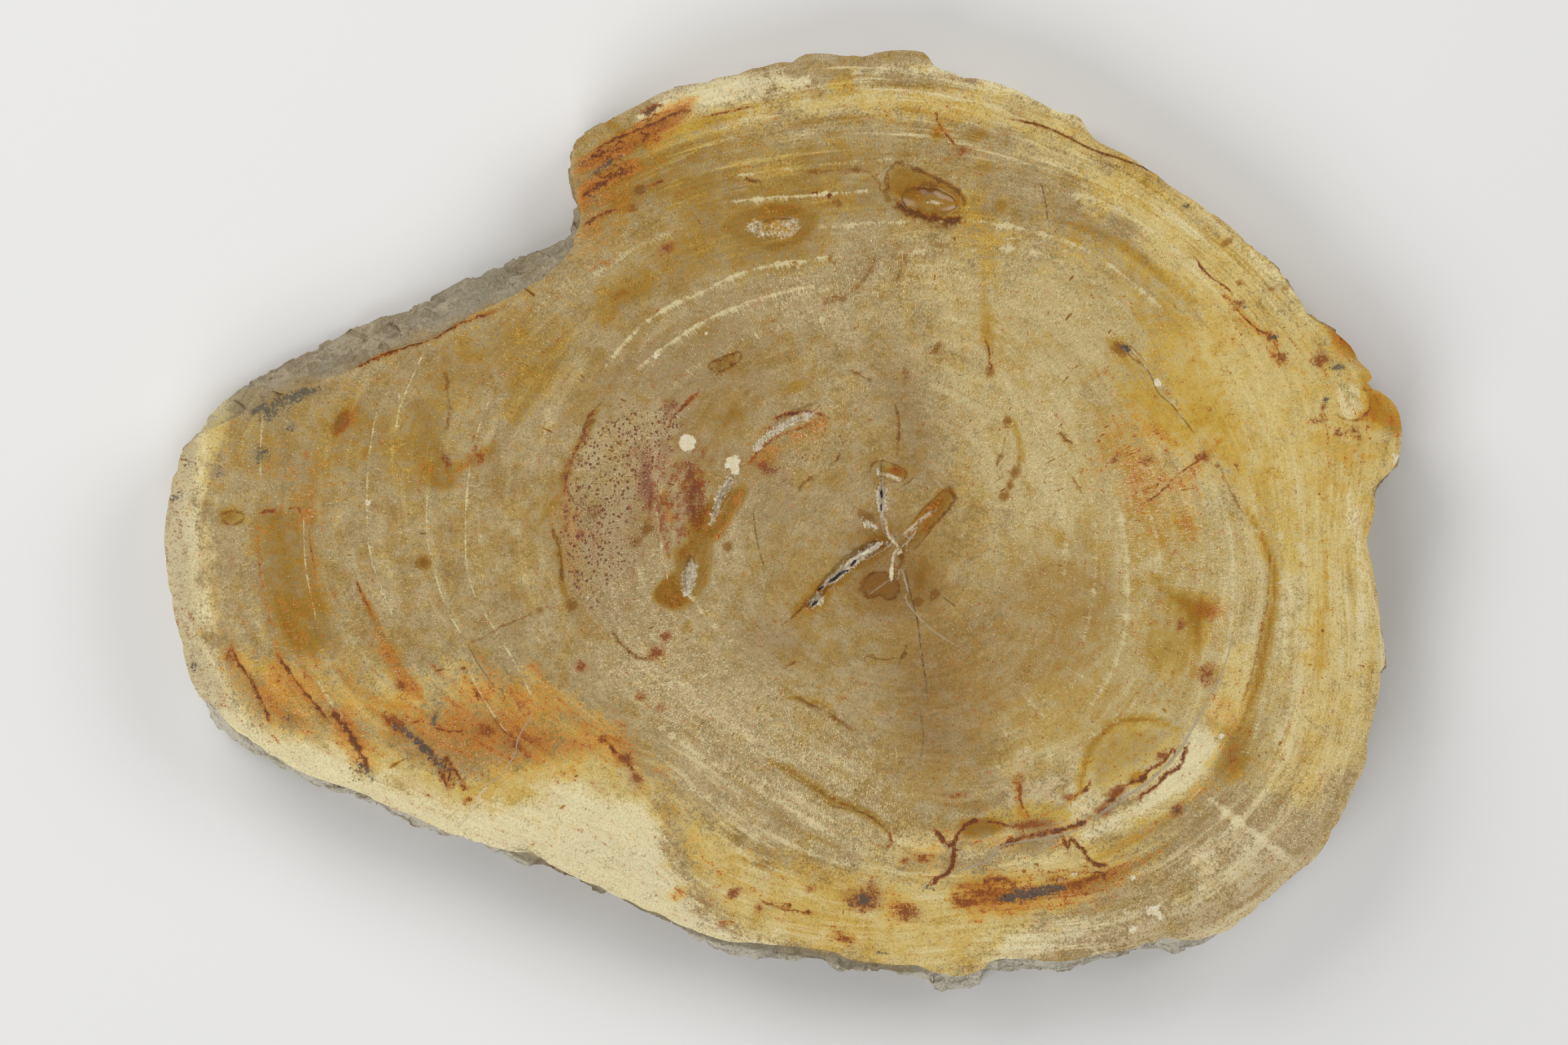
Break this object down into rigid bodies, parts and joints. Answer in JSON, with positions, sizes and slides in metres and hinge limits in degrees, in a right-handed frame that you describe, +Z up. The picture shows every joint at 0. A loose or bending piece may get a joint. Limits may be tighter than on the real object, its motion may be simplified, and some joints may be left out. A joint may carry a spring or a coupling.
{
  "type": "petrified wood slice",
  "caption": "Flat slab sawn across a petrified log, with a polished face of growth rings, an irregular outline with a broken shoulder, and a rough stone wall, to lie on a shelf.",
  "frame": {"origin": "middle of the slice's bounding box, on the sawn back face that it rests on", "axes": "+Z up out of the polished face, +X along the slice's long side towards its broad end, +Y towards the edge with the rounded top"},
  "size_m": [0.2401, 0.1832, 0.02],
  "materials": {
    "petrified_wood": "satin"
  },
  "bodies": {
    "root": {"petrified_wood_slice": "petrified_wood"}
  },
  "joints": []
}
